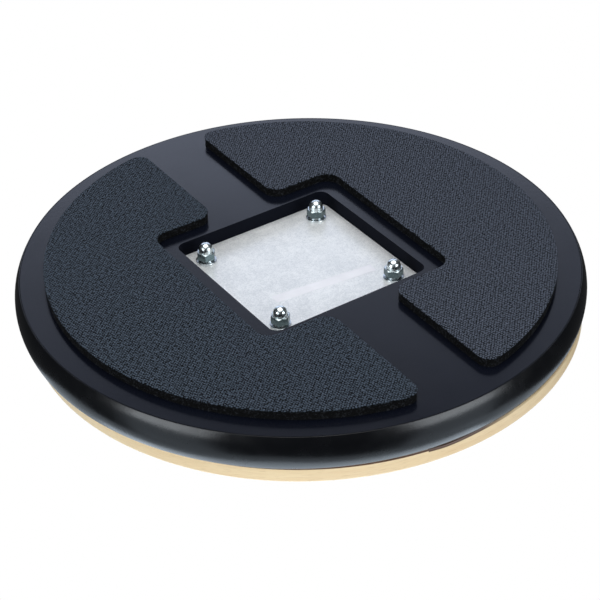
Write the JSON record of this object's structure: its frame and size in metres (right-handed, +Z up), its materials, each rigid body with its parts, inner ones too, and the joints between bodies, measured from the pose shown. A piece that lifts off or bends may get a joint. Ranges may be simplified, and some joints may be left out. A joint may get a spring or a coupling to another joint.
{
  "type": "practice pad",
  "caption": "Round drummer's practice pad: rubber playing surface in a maple hoop on a black base with an edge trim, a bolted steel centre plate below and foam pads to stand on.",
  "frame": {"origin": "centre of the base's centre line on the surface that the foam pads rest on", "axes": "+Z up, out of the playing surface; +X across the channel between the foam pads, towards the right pad; +Y along the channel"},
  "size_m": [0.3556, 0.3556, 0.0391],
  "materials": {
    "rubber": "matt moulded gum rubber with a fine stipple",
    "maple": "clear satin lacquer over pale maple",
    "black_lacquer": "satin black lacquer on board",
    "black_trim": "semi-gloss black plastic",
    "zinc_plate": "bright zinc plate with a faint grain",
    "label": "blank pale film",
    "foam": "black open-cell foam",
    "pad_fabric": "dark blue-grey fine knit, non-slip",
    "bright_steel": "bright zinc plated",
    "chrome": "polished plated steel"
  },
  "bodies": {
    "root": {"playing_surface": "rubber", "maple_hoop": "maple", "base_board": "black_lacquer", "edge_trim": "black_trim", "centre_plate": "zinc_plate", "plate_label": "label", "left_foam_pad": "foam", "right_foam_pad": "foam", "left_pad_facing": "pad_fabric", "right_pad_facing": "pad_fabric", "plate_screw_1": "bright_steel", "plate_screw_2": "bright_steel", "plate_screw_3": "bright_steel", "plate_screw_4": "bright_steel", "flat_washer_1": "bright_steel", "flat_washer_2": "bright_steel", "flat_washer_3": "bright_steel", "flat_washer_4": "bright_steel", "lock_washer_1": "bright_steel", "lock_washer_2": "bright_steel", "lock_washer_3": "bright_steel", "lock_washer_4": "bright_steel", "dome_nut_1": "chrome", "dome_nut_2": "chrome", "dome_nut_3": "chrome", "dome_nut_4": "chrome"}
  },
  "joints": []
}
